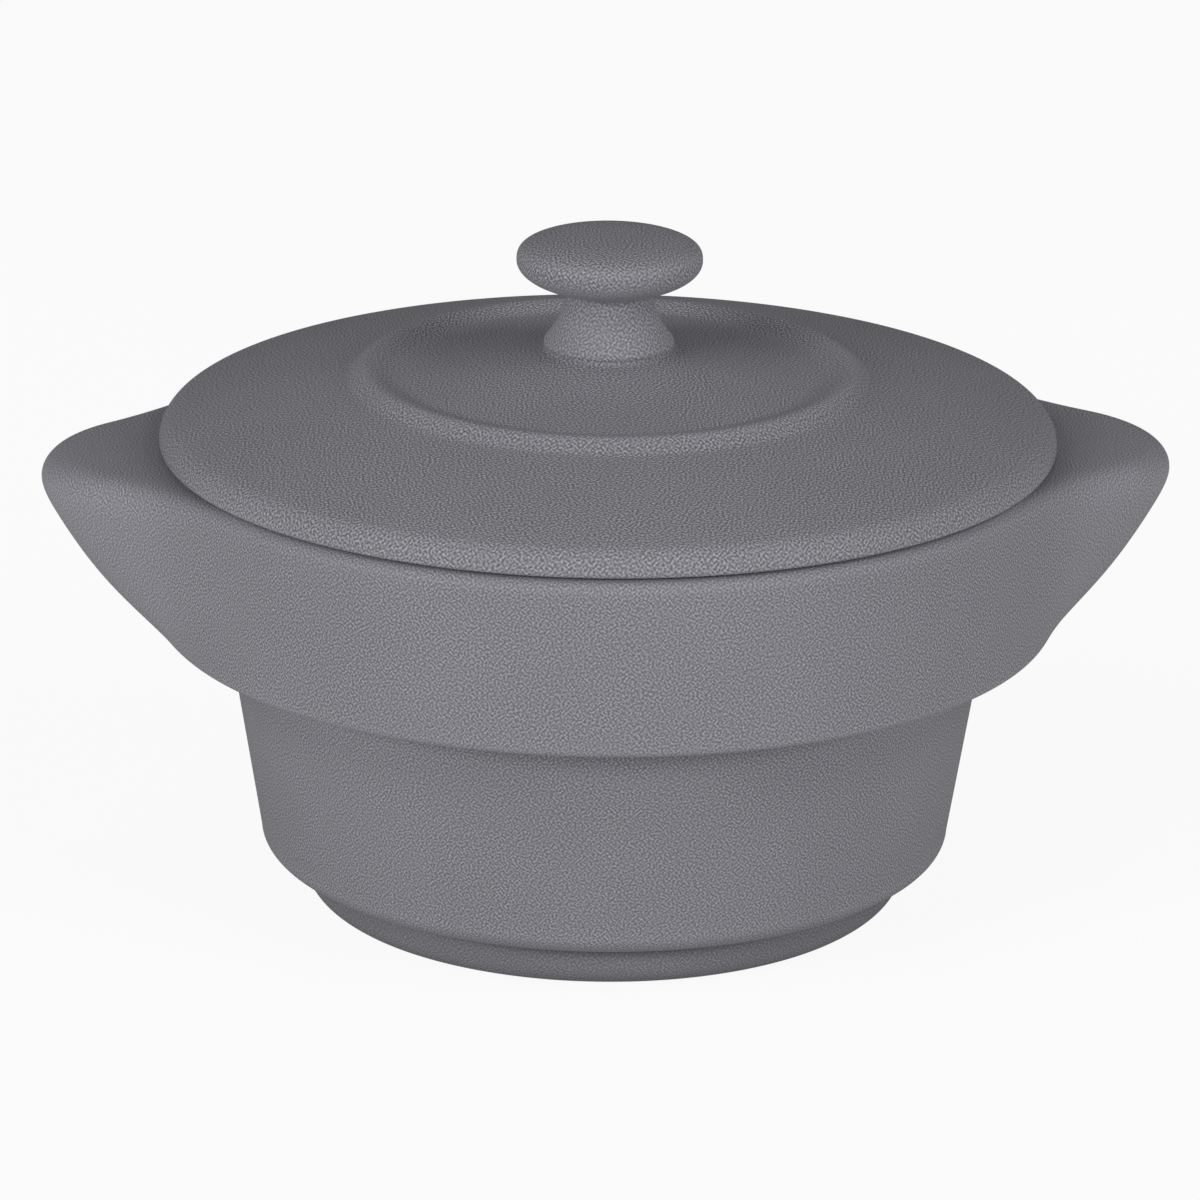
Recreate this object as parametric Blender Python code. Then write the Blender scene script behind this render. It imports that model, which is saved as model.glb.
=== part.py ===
"""Round covered pot with two wing ears: a ceramic vessel and its knobbed lid. Metres, +Z up, foot at z = 0.

Both pieces are single castings. The pot is lofted through a stack of closed outlines, round everywhere but in
the collar, where they flare into the ears. The lid is a profile spun about the same axis, and lifts along it.
"""

import math

import bmesh
import bpy
import numpy as np

# Rim seen from above. The lid's radius sets the rim's, because the two stand flush.
LID_RADIUS = 0.0600
RIM_PROUD = 0.0002  # how far the pot's rim stands out past the lid's edge
RIM_WIDTH = 0.0057  # from the rim's outside to the mouth
RIM_EDGE_ROUND = 0.0018
LIP_ROUND = 0.0010  # rounding of the mouth's edge

# Wing ears. Seen from above each is a nose circle, joined to the rim circle by a hollow arc on each side.
EAR_REACH = 0.0159  # how far an ear's tip stands out past the rim
EAR_NOSE_RADIUS = 0.0171
EAR_FLANK_RADIUS = 0.0840
EAR_EDGE_ROUND = 0.0042  # rounding of an ear's top edge at the tip, where the rim's has grown to it
EAR_SWELL = 0.49  # how full an ear's underside is, 0 for a straight slope
EAR_LOW_SWELL = 0.19  # how much of that lies low, towards the step

# Collar, step and drum, from the top down.
COLLAR_HEIGHT = 0.0238
COLLAR_TAPER = 0.0001  # how much narrower the collar is at the step than at the rim
COLLAR_EDGE_ROUND = 0.0011
STEP_WIDTH = 0.0090  # how far the collar overhangs the drum
STEP_FILLET = 0.0011
DRUM_HEIGHT = 0.0293
DRUM_TAPER = 0.0046  # how much narrower the drum is at its lower edge
DRUM_TUCK_WIDTH = 0.0065  # the drum's lower edge turning in to the foot
DRUM_TUCK_HEIGHT = 0.0037
DRUM_TUCK_FULLNESS = 2.15  # 2 is an ellipse, less is flatter

# Foot: a low ring under the drum, a little swollen, that draws in to the table.
FOOT_HEIGHT = 0.0062
FOOT_SWELL = 0.0003
FOOT_SWELL_HEIGHT = 0.0026
FOOT_DRAW = 0.0028  # how much narrower the foot stands than where it joins the drum
FOOT_RING_WIDTH = 0.0036
FOOT_RING_SLOPE = 0.0012  # how much the hollow under the base narrows upwards
BASE_HOLLOW = 0.0045

# Inside of the pot.
WALL = 0.0045
FLOOR = 0.0045
MOUTH_TAPER = 0.0008  # how much narrower the mouth is at the inner shoulder
SHOULDER_FILLET = 0.0022
SHOULDER_ROUND = 0.0018
INNER_BOTTOM_ROUND = 0.0070

# Lid: rounded edge, dome, raised ring, disc and the flange that drops into the mouth. Heights from its seat.
SEAT_GAP = 0.00035  # between the lid's seat and the rim
LID_EDGE_RADIUS = 0.0032  # rounding from the edge's widest circle up to the dome
LID_SEAT_ROUND = 0.0006  # rounding from the edge's widest circle down to the seat
LID_EDGE_SLOPE = 17.0  # degrees, where the dome leaves the edge
DOME_KNEE_RADIUS = 0.0439  # control point of the dome's curve
DOME_KNEE_HEIGHT = 0.0079
DOME_TOP_HEIGHT = 0.0130  # the dome at the stem
LID_WALL = 0.0045
RING_RADIUS = 0.0328
RING_HEIGHT = 0.0013  # over the plain dome
RING_OUTER_SLOPE = 0.0026  # width of the ring's outer side
RING_INNER_SLOPE = 0.0040
DISC_DROP = 0.0006  # how far the disc's edge, inside the ring, lies under the plain dome
DISC_SAG = 0.0008  # how far the disc's curve is drawn down from a straight cone
FLANGE_CLEARANCE = 0.0009  # between the flange and the mouth
FLANGE_WIDTH = 0.0040
FLANGE_DEPTH = 0.0050
FLANGE_ROUND = 0.0012

# Knob: a flattened ball on a flared stem, solid, in one piece with the lid.
STEM_BASE_RADIUS = 0.0087
STEM_LIP_ROUND = 0.0009  # rounded lip round the stem's base
STEM_LIP_TOP = 45.0  # degrees, where the stem runs into its lip
STEM_LIP_FOOT = -30.0  # degrees, where the lip meets the dome
STEM_HOLLOW = 0.0011  # how far the stem's side is drawn in from a straight cone
NECK_RADIUS = 0.0058
NECK_FILLET = 0.0009
CAP_RADIUS = 0.0124
CAP_MIDDLE_HEIGHT = 0.0251  # the widest circle of the cap
CAP_TOP_RISE = 0.0034  # from the widest circle up to the crown
CAP_TOP_FULLNESS = 2.9
CAP_UNDER_DROP = 0.0045  # from the widest circle down, if the underside ran on to the axis
CAP_UNDER_FULLNESS = 2.05

# Facets.
ROUND_POINTS = 4  # points along a small rounding
RING_POINTS = 5  # points along one side of the lid's ring
CURVE_POINTS = 7  # points along a wide curve
DOME_SAMPLES = 200  # points that the dome's height is read from
POT_POINTS = 72
EAR_CROWDING = 0.50  # draws the pot's points together at the ears, where the outline turns fastest
LID_STEPS = 48
SMOOTH_ANGLE = 40.0  # degrees, sharper edges than this are shaded sharp
MERGE_DISTANCE = 1e-6

# Matt glaze.
GLAZE_COLOUR = (0.215, 0.212, 0.231, 1.0)
GLAZE_ROUGHNESS = 0.55

# Heights and radii that follow.
STEP_HEIGHT = FOOT_HEIGHT + DRUM_TUCK_HEIGHT + DRUM_HEIGHT
RIM_HEIGHT = STEP_HEIGHT + COLLAR_HEIGHT
SEAT_HEIGHT = RIM_HEIGHT + SEAT_GAP
RIM_RADIUS = LID_RADIUS + RIM_PROUD
MOUTH_RADIUS = RIM_RADIUS - RIM_WIDTH
COLLAR_RADIUS = RIM_RADIUS - COLLAR_TAPER
DRUM_TOP_RADIUS = COLLAR_RADIUS - STEP_WIDTH
DRUM_FOOT_RADIUS = DRUM_TOP_RADIUS - DRUM_TAPER
FOOT_JOIN_RADIUS = DRUM_FOOT_RADIUS - DRUM_TUCK_WIDTH
FOOT_STAND_RADIUS = FOOT_JOIN_RADIUS - FOOT_DRAW


def arc(centre, radius, start, end, count):
    """Points (radius, height) of a round corner about its centre, from one angle to another in degrees."""
    turn = np.radians(np.linspace(start, end, count))
    return list(zip(centre[0] + radius * np.cos(turn), centre[1] + radius * np.sin(turn)))


def bend(first, control, last, count):
    """Points of a quadratic curve that leaves first towards control and comes into last from it."""
    share = np.linspace(0.0, 1.0, count)[:, None]
    first, control, last = np.array(first), np.array(control), np.array(last)
    points = (1 - share) ** 2 * first + 2 * share * (1 - share) * control + share**2 * last
    return [tuple(point) for point in points]


def quarter(centre, across, rise, fullness, end, count):
    """Points of a superellipse from its widest point up, or down for a negative rise. Fullness 2: ellipse."""
    turn = np.radians(np.linspace(0.0, end, count))
    radii = centre[0] + across * np.cos(turn).clip(0.0) ** (2 / fullness)
    heights = centre[1] + rise * np.sin(turn) ** (2 / fullness)
    return list(zip(radii, heights))


def pot_angles():
    """Angles of the points round the pot, closer together at the two ears, which lie on the X axis."""
    even = np.linspace(0.0, 2 * math.pi, POT_POINTS, endpoint=False)
    return even - EAR_CROWDING * np.sin(2 * even) / 2


def circle_reach(angles, x, y, radius, side):
    """Distance from the axis, by angle, of a circle about (x, y): the far side for 1, the near one for -1."""
    across = x * np.sin(angles) - y * np.cos(angles)
    half_chord = np.sqrt((radius**2 - across**2).clip(0.0))
    return x * np.cos(angles) + y * np.sin(angles) + side * half_chord


def rim_outline(angles):
    """The rim's outer radius by angle: rim circle, a hollow arc along the ear's flank and the nose circle.

    The flank arc lies outside both circles and touches each of them, so the outline runs on without a corner.
    """
    nose_centre = RIM_RADIUS + EAR_REACH - EAR_NOSE_RADIUS
    to_rim = EAR_FLANK_RADIUS + RIM_RADIUS
    to_nose = EAR_FLANK_RADIUS + EAR_NOSE_RADIUS
    flank_x = (to_rim**2 - to_nose**2 + nose_centre**2) / (2 * nose_centre)
    flank_y = math.sqrt(to_rim**2 - flank_x**2)
    nose_turn = math.atan2(flank_y, flank_x - nose_centre)
    nose_end_x = nose_centre + EAR_NOSE_RADIUS * math.cos(nose_turn)
    nose_end = math.atan2(EAR_NOSE_RADIUS * math.sin(nose_turn), nose_end_x)
    flank_end = math.atan2(flank_y, flank_x)
    from_ear = np.abs((angles + math.pi / 2) % math.pi - math.pi / 2)
    nose = circle_reach(from_ear, nose_centre, 0.0, EAR_NOSE_RADIUS, 1)
    flank = circle_reach(from_ear, flank_x, flank_y, EAR_FLANK_RADIUS, -1)
    return np.where(from_ear < nose_end, nose, np.where(from_ear < flank_end, flank, RIM_RADIUS))


def pot_outside():
    """Round outlines (radius, height) from the hollow under the base over foot and drum to the collar."""
    hollow_radius = FOOT_STAND_RADIUS - FOOT_RING_WIDTH
    stand = np.array((FOOT_STAND_RADIUS, 0.0))
    join = np.array((FOOT_JOIN_RADIUS, FOOT_HEIGHT))
    swell = np.array((FOOT_JOIN_RADIUS + FOOT_SWELL, FOOT_SWELL_HEIGHT))
    tuck_centre = (FOOT_JOIN_RADIUS, FOOT_HEIGHT + DRUM_TUCK_HEIGHT)
    tuck = quarter(tuck_centre, DRUM_TUCK_WIDTH, -DRUM_TUCK_HEIGHT, DRUM_TUCK_FULLNESS, 90, CURVE_POINTS)
    fillet_centre = (DRUM_TOP_RADIUS + STEP_FILLET, STEP_HEIGHT - STEP_FILLET)
    edge_centre = (COLLAR_RADIUS - COLLAR_EDGE_ROUND, STEP_HEIGHT + COLLAR_EDGE_ROUND)
    outlines = [(hollow_radius - FOOT_RING_SLOPE, BASE_HOLLOW), (hollow_radius, 0.0)]
    outlines += bend(stand, 2 * swell - (stand + join) / 2, join, CURVE_POINTS)
    outlines += tuck[-2::-1]
    outlines += arc(fillet_centre, STEP_FILLET, 180, 90, ROUND_POINTS)
    outlines += arc(edge_centre, COLLAR_EDGE_ROUND, -90, 0, ROUND_POINTS)
    return outlines


def pot_collar(rim):
    """Outlines of the collar's wall, from the round edge at the step to the eared rim and over its edge."""
    ear = np.sqrt((rim - RIM_RADIUS).clip(0.0) / EAR_REACH)
    edge = RIM_EDGE_ROUND + (EAR_EDGE_ROUND - RIM_EDGE_ROUND) * ear
    low = STEP_HEIGHT + COLLAR_EDGE_ROUND
    high = RIM_HEIGHT - edge
    outlines = []
    for rise in np.linspace(0.0, 1.0, CURVE_POINTS)[1:-1]:
        flare = rise + rise * (1 - rise) * (EAR_SWELL + EAR_LOW_SWELL * (1 - 2 * rise))
        outlines.append((COLLAR_RADIUS + (rim - COLLAR_RADIUS) * flare, low + (high - low) * rise))
    for reach, height in arc((0.0, 0.0), 1.0, 0, 90, CURVE_POINTS):
        outlines.append((rim - edge + edge * reach, high + edge * height))
    return outlines


def pot_inside():
    """Round outlines from the mouth's edge down the collar, over the inner shoulder and on to the floor."""
    shoulder = STEP_HEIGHT + WALL
    floor = BASE_HOLLOW + FLOOR
    drum_top = DRUM_TOP_RADIUS - WALL
    drum_foot = DRUM_FOOT_RADIUS - WALL
    lip_centre = (MOUTH_RADIUS + LIP_ROUND, RIM_HEIGHT - LIP_ROUND)
    fillet_centre = (MOUTH_RADIUS - MOUTH_TAPER - SHOULDER_FILLET, shoulder + SHOULDER_FILLET)
    round_centre = (drum_top + SHOULDER_ROUND, shoulder - SHOULDER_ROUND)
    bottom_centre = (drum_foot - INNER_BOTTOM_ROUND, floor + INNER_BOTTOM_ROUND)
    outlines = arc(lip_centre, LIP_ROUND, 90, 180, ROUND_POINTS)
    outlines += arc(fillet_centre, SHOULDER_FILLET, 0, -90, ROUND_POINTS)
    outlines += arc(round_centre, SHOULDER_ROUND, 90, 180, ROUND_POINTS)
    outlines += arc(bottom_centre, INNER_BOTTOM_ROUND, 0, -90, CURVE_POINTS)
    return outlines


def add_outline(bm, angles, radii, heights):
    """A closed row of points, one at each angle. Its radius and height may change on the way round."""
    heights = np.broadcast_to(heights, angles.shape)
    return [bm.verts.new(point) for point in zip(radii * np.cos(angles), radii * np.sin(angles), heights)]


def loft(outlines, angles):
    """A closed skin through a stack of outlines, with a flat face at each end that fans out from the axis."""
    bm = bmesh.new()
    rows = [add_outline(bm, angles, radii, heights) for radii, heights in outlines]
    for row, following in zip(rows, rows[1:]):
        for point in range(len(angles)):
            bm.faces.new((row[point - 1], row[point], following[point], following[point - 1]))
    for end in (rows[0], rows[-1]):
        bmesh.ops.poke(bm, faces=[bm.faces.new(end)])
    return bm


def dome_heights(radii):
    """Height of the lid's plain dome at these radii: one curve from the rounded edge to the stem's base."""
    slope = math.radians(LID_EDGE_SLOPE)
    edge_radius = LID_RADIUS - LID_EDGE_RADIUS + LID_EDGE_RADIUS * math.sin(slope)
    edge_height = LID_SEAT_ROUND + LID_EDGE_RADIUS * math.cos(slope)
    top = (STEM_BASE_RADIUS, DOME_TOP_HEIGHT)
    knee = (DOME_KNEE_RADIUS, DOME_KNEE_HEIGHT)
    curve = np.array(bend(top, knee, (edge_radius, edge_height), DOME_SAMPLES))
    return np.interp(radii, curve[:, 0], curve[:, 1])


def knob_profile():
    """Profile (radius, height) from the crown over the cap and down the stem to the lip round its base."""
    middle = (0.0, CAP_MIDDLE_HEIGHT)
    crown = quarter(middle, CAP_RADIUS, CAP_TOP_RISE, CAP_TOP_FULLNESS, 90, CURVE_POINTS)[::-1]
    neck_share = (NECK_RADIUS + NECK_FILLET) / CAP_RADIUS
    under_end = math.degrees(math.acos(neck_share ** (CAP_UNDER_FULLNESS / 2)))
    under = quarter(middle, CAP_RADIUS, -CAP_UNDER_DROP, CAP_UNDER_FULLNESS, under_end, CURVE_POINTS)
    neck_top = under[-1][1]
    neck = bend(under[-1], (NECK_RADIUS, neck_top), (NECK_RADIUS, neck_top - NECK_FILLET), ROUND_POINTS)
    lip_centre = (STEM_BASE_RADIUS - STEM_LIP_ROUND, DOME_TOP_HEIGHT + STEM_LIP_ROUND)
    lip = arc(lip_centre, STEM_LIP_ROUND, STEM_LIP_TOP, STEM_LIP_FOOT, ROUND_POINTS)
    middle_of_stem = (np.array(neck[-1]) + np.array(lip[0])) / 2
    stem = bend(neck[-1], middle_of_stem - (STEM_HOLLOW, 0.0), lip[0], CURVE_POINTS)
    return crown + under[1:] + neck[1:] + stem[1:] + lip[1:]


def ring_heights(radii):
    """How far the raised ring stands over the plain dome, or the edge of the disc inside it lies under it."""
    side = np.where(radii < RING_RADIUS, RING_INNER_SLOPE, RING_OUTER_SLOPE)
    crest = np.cos(((radii - RING_RADIUS) / side).clip(-1.0, 1.0) * math.pi / 2) ** 2
    return RING_HEIGHT * crest - np.where(radii < RING_RADIUS, DISC_DROP * (1 - crest), 0.0)


def dome_profile():
    """Profile from the stem's base over the disc, raised ring and dome to the rounded edge and the seat."""
    ring_inside = RING_RADIUS - RING_INNER_SLOPE
    ring_outside = RING_RADIUS + RING_OUTER_SLOPE
    slope = math.radians(LID_EDGE_SLOPE)
    edge_centre = (LID_RADIUS - LID_EDGE_RADIUS, LID_SEAT_ROUND)
    seat_centre = (LID_RADIUS - LID_SEAT_ROUND, LID_SEAT_ROUND)
    dome_end = edge_centre[0] + LID_EDGE_RADIUS * math.sin(slope)
    disc_top = np.array((STEM_BASE_RADIUS, DOME_TOP_HEIGHT))
    disc_edge = np.array((ring_inside, dome_heights(ring_inside) - DISC_DROP))
    disc = bend(disc_top, (disc_top + disc_edge) / 2 - (0.0, DISC_SAG), disc_edge, CURVE_POINTS)
    inner_side = np.linspace(ring_inside, RING_RADIUS, RING_POINTS)[1:]
    outer_side = np.linspace(RING_RADIUS, ring_outside, RING_POINTS)[1:]
    dome = np.linspace(ring_outside, dome_end, CURVE_POINTS)[1:-1]
    radii = np.concatenate((inner_side, outer_side, dome))
    profile = disc + list(zip(radii, dome_heights(radii) + ring_heights(radii)))
    profile += arc(edge_centre, LID_EDGE_RADIUS, 90 - LID_EDGE_SLOPE, 0, CURVE_POINTS)
    return profile + arc(seat_centre, LID_SEAT_ROUND, 0, -90, ROUND_POINTS)[1:]


def underside_profile():
    """Profile from the seat down round the flange, then up under the dome to the axis."""
    outer = MOUTH_RADIUS - FLANGE_CLEARANCE
    inner = outer - FLANGE_WIDTH
    outer_centre = (outer - FLANGE_ROUND, FLANGE_ROUND - FLANGE_DEPTH)
    inner_centre = (inner + FLANGE_ROUND, FLANGE_ROUND - FLANGE_DEPTH)
    profile = [(outer, 0.0)]
    profile += arc(outer_centre, FLANGE_ROUND, 0, -90, ROUND_POINTS)
    profile += arc(inner_centre, FLANGE_ROUND, -90, -180, ROUND_POINTS)
    radii = np.linspace(inner, 0.0, CURVE_POINTS)
    return profile + list(zip(radii, dome_heights(radii) - LID_WALL))


def spin(profile):
    """A closed skin turned from a profile that starts and ends on the Z axis."""
    bm = bmesh.new()
    verts = [bm.verts.new((radius, 0.0, height)) for radius, height in profile]
    edges = [bm.edges.new(pair) for pair in zip(verts, verts[1:])]
    bmesh.ops.spin(bm, geom=verts + edges, axis=(0.0, 0.0, 1.0), cent=(0.0, 0.0, 0.0),
                   angle=2 * math.pi, steps=LID_STEPS)
    bmesh.ops.remove_doubles(bm, verts=bm.verts, dist=MERGE_DISTANCE)
    return bm


def matt_glaze(name):
    material = bpy.data.materials.new(name)
    material.use_nodes = True
    shader = material.node_tree.nodes["Principled BSDF"]
    shader.inputs["Base Color"].default_value = GLAZE_COLOUR
    shader.inputs["Roughness"].default_value = GLAZE_ROUGHNESS
    shader.inputs["Metallic"].default_value = 0.0
    return material


def add_piece(name, bm, material):
    """Turns a finished skin into a named object with its faces pointing out."""
    bmesh.ops.recalc_face_normals(bm, faces=bm.faces)
    mesh = bpy.data.meshes.new(name)
    bm.to_mesh(mesh)
    bm.free()
    mesh.shade_smooth()
    mesh.set_sharp_from_angle(angle=math.radians(SMOOTH_ANGLE))
    mesh.materials.append(material)
    piece = bpy.data.objects.new(name, mesh)
    bpy.context.scene.collection.objects.link(piece)
    return piece


def build_pot():
    angles = pot_angles()
    outlines = pot_outside() + pot_collar(rim_outline(angles)) + pot_inside()
    return add_piece("pot", loft(outlines, angles), matt_glaze("pot_glaze"))


def build_lid(pot):
    """The lid's origin is on the axis that it lifts along, at its seat on the rim."""
    profile = knob_profile() + dome_profile() + underside_profile()
    lid = add_piece("lid", spin(profile), matt_glaze("lid_glaze"))
    lid.parent = pot
    lid.location = (0.0, 0.0, SEAT_HEIGHT)
    return lid


for old in list(bpy.data.objects):
    bpy.data.objects.remove(old, do_unlink=True)
build_lid(build_pot())
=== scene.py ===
# %% [markdown]
# # A round covered pot with wing ears
#
# This lesson dresses a small ceramic casserole: a pot with two wing-shaped ears, and a domed lid with a
# mushroom knob. The CAD model already has the right sizes and the joint that lifts the lid, but it is
# coarse and has one flat colour. Here both castings are made again as fine surfaces, from nearly the same
# formulas, and get the grained matt glaze of the real one.
#
# Everything is in metres, in the CAD model's own frame: the foot stands on z = 0 and the ears lie along X.
# The box of the CAD model is kept now, for the sizes that are read from it below.

# %% Load the CAD model
import math

import bpy
import numpy as np
from mathutils import Matrix, Vector


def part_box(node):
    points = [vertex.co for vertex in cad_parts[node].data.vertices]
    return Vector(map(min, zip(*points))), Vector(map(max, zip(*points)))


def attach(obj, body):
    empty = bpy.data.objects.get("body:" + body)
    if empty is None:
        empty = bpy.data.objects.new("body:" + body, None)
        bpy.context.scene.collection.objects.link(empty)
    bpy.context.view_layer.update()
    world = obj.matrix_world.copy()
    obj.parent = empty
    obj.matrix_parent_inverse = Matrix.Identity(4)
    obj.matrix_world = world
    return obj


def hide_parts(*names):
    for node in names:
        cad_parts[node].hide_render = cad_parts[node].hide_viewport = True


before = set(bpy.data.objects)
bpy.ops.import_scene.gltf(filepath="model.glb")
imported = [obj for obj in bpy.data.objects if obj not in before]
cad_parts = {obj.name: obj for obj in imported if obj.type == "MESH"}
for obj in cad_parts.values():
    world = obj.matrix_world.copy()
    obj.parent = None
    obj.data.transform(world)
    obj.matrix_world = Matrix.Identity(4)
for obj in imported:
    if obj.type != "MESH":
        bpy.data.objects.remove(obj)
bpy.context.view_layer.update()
pot_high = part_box("pot")[1]
lid_low, lid_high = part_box("lid")

# %% [markdown]
# ## The sizes that pot and lid share
#
# A potter works from a few sizes: how wide the rim is, how far the ears stand out, how high the pot is.
# These are read from the CAD model's boxes, so that the fine surfaces come out as large as the solids, but
# for the ears' softer edges, which end less than a millimetre further in. A size that only one piece needs
# is named in that piece's own cell, and one that follows from others is worked out from them. Lengths are
# in metres and angles in degrees.

# %% Shared sizes
LID_RADIUS = lid_high.x
RIM_HEIGHT = pot_high.z
EAR_TIP = pot_high.x
RIM_OVERHANG = 0.0002
RIM_WIDTH = 0.0057
RIM_RADIUS = LID_RADIUS + RIM_OVERHANG
MOUTH_RADIUS = RIM_RADIUS - RIM_WIDTH
EAR_REACH = EAR_TIP - RIM_RADIUS
print(f"rim {2000 * RIM_RADIUS:.1f} mm across and {1000 * RIM_HEIGHT:.1f} mm high, "
      f"{2000 * EAR_TIP:.1f} mm over the ears, lid {2000 * LID_RADIUS:.1f} mm across")

# %% [markdown]
# ## Curves for a profile
#
# A potter's template is a cut-out of half the wall, as radius and height. Its edge is a string of straight
# runs, round corners and free curves, and the first four functions draw them as whole arrays of points. The
# last one strings them together, so that every profile below reads like a list of the shapes along it. A
# drawn curve object would do as well, but then the sizes would sit in its points and not in named values.

# %% Profile curves
SAME_POINT = 1e-7


def run(first, last, count):
    """Points (radius, height) of a straight line, evenly spaced."""
    return np.linspace(first, last, count)


def arc(centre, radius, start, end, count):
    """Points of a round corner: centre plus radius times cosine and sine of an angle, in degrees."""
    turn = np.radians(np.linspace(start, end, count))
    return np.column_stack((centre[0] + radius * np.cos(turn), centre[1] + radius * np.sin(turn)))


def bend(first, control, last, count):
    """Points of a quadratic curve: it leaves first towards control, and comes into last from it."""
    share = np.linspace(0.0, 1.0, count)[:, None]
    first, control, last = np.array(first), np.array(control), np.array(last)
    return (1 - share) ** 2 * first + 2 * share * (1 - share) * control + share**2 * last


def quarter(centre, across, rise, fullness, end, count):
    """Points of a superellipse: cosine and sine to the power 2 / fullness, from its widest point on."""
    turn = np.radians(np.linspace(0.0, end, count))
    radii = centre[0] + across * np.cos(turn).clip(0.0) ** (2 / fullness)
    return np.column_stack((radii, centre[1] + rise * np.sin(turn) ** (2 / fullness)))


def string(*curves):
    """One profile through these curves, without the points that repeat the one before them."""
    points = np.concatenate(curves)
    length = np.linalg.norm(np.diff(points, axis=0), axis=1)
    return points[np.concatenate(([True], length > SAME_POINT))]


sample = string(run((0.0, 0.0), (1.0, 0.0), count=3), arc((1.0, 1.0), 1.0, -90, 0, count=5))
print("a run of 3 points and a corner of 5 share one when strung together:", len(sample), "points")

# %% [markdown]
# ## Where glaze lies thin or deep, and where light and shade are painted
#
# Glaze isn't the same everywhere: it draws back from sharp edges, which come out a little paler, and
# gathers in hollows. Painting these places by hand would be lost with the next change of shape. How fast
# the profile turns tells where they are, so that is measured in every row and turned into two marks. Pot
# and lid add painted light to the first, which makes a place paler, and painted shade to the second, which
# makes it darker. Two more marks say where the clay is left bare and which rows are the smoother inside.

# %% Glaze marks
EDGE_BEND = (130.0, 620.0)
HOLLOW_BEND = (400.0, 2400.0)
EDGE_THINNESS = 0.5
MARK_SMOOTHING = 3


def ease(values, low, high):
    """0 below low and 1 above high, with a soft S-shaped change between them."""
    share = ((values - low) / (high - low)).clip(0.0, 1.0)
    return share * share * (3 - 2 * share)


def smoothed(values, times):
    """The mean of each row, counted twice, and its two neighbours, taken this many times."""
    for _ in range(times):
        padded = np.concatenate((values[:1], values, values[-1:]))
        values = (padded[:-2] + 2 * padded[1:-1] + padded[2:]) / 4
    return values


def turning(radii, heights):
    """How fast the profile turns along each column, per metre: above 0 on an edge, below 0 in a hollow."""
    across, up = np.diff(radii, axis=0), np.diff(heights, axis=0)
    heading = np.unwrap(np.arctan2(up, across), axis=0)
    length = np.hypot(across, up)
    inner = np.diff(heading, axis=0) / ((length[1:] + length[:-1]) / 2)
    return np.concatenate((inner[:1], inner, inner[-1:]))


def glaze_marks(radii, heights, thin_and_painted_light, pooled_and_painted_shade, bare, inside):
    """The four marks of a body: given painted light, raised where glaze breaks on a sharp edge, given
    painted shade, raised where glaze gathers in a hollow, bare clay and inside.
    """
    bends = turning(radii, heights)
    # First mark: thin glaze and painted light. Second: pooled glaze and painted shade.
    return {"thin_and_painted_light": smoothed(np.maximum(thin_and_painted_light, EDGE_THINNESS * ease(bends, *EDGE_BEND)), MARK_SMOOTHING),
            "pooled_and_painted_shade": smoothed(np.maximum(pooled_and_painted_shade, ease(-bends, *HOLLOW_BEND)), MARK_SMOOTHING),
            "bare": bare, "inside": inside}


corner = arc((0.0, 0.0), 0.002, -90, 0, count=9)
print(f"a corner of 2 mm radius turns by {turning(corner[:, :1], corner[:, 1:]).mean():.0f} per metre")

# %% [markdown]
# ## From rows of points to faces
#
# Both castings are a stack of closed rows of points, one row for each point of the profile. A Screw
# modifier could turn the lid's profile, but not the pot's, whose collar isn't round. So the faces are
# worked out here for either: four-sided ones between the rows, and a fan of triangles round the point on
# the axis at each end.

# %% Faces of a grid
def grid_faces(count, steps):
    """The corners of all faces between rows of points, and where each face starts among them.

    A face takes a point, the one beside it and the two above these. The two points after the grid's last one
    are on the axis: a fan of triangles joins the first row to one of them, and the last row to the other.
    """
    index = np.arange(count * steps).reshape(count, steps)
    beside = np.roll(index, -1, axis=1)
    quads = np.stack((index[:-1], beside[:-1], beside[1:], index[1:]), axis=-1).reshape(-1, 4)
    first = np.stack((np.full(steps, count * steps), beside[0], index[0]), axis=-1)
    last = np.stack((np.full(steps, count * steps + 1), index[-1], beside[-1]), axis=-1)
    fans = np.concatenate((first, last))
    corners = np.concatenate((quads.ravel(), fans.ravel()))
    return corners, np.concatenate((np.arange(len(quads)) * 4, quads.size + np.arange(len(fans)) * 3))


print("3 rows of 8 points make", len(grid_faces(3, 8)[1]), "faces: 16 between the rows and 8 at each end")

# %% [markdown]
# ## From faces to a closed body
#
# Whole arrays are put into the mesh by foreach_set, which is far quicker than adding points one by one. The
# marks are stored on the points for the material, with the two directions along the surface that the grain
# needs.

# %% Mesh of a closed body
def surface_directions(rows):
    """Unit vectors round and up the surface at every point, from its neighbours in the rows."""
    around = np.roll(rows, -1, axis=1) - np.roll(rows, 1, axis=1)
    along = np.gradient(rows, axis=0)
    return {name: vectors / np.linalg.norm(vectors, axis=-1, keepdims=True)
            for name, vectors in (("around", around), ("along", along))}


def store(mesh, name, kind, field, values):
    """An attribute of that kind on the points of the mesh."""
    mesh.attributes.new(name, kind, "POINT").data.foreach_set(field, values.astype(np.float32).ravel())


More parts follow.
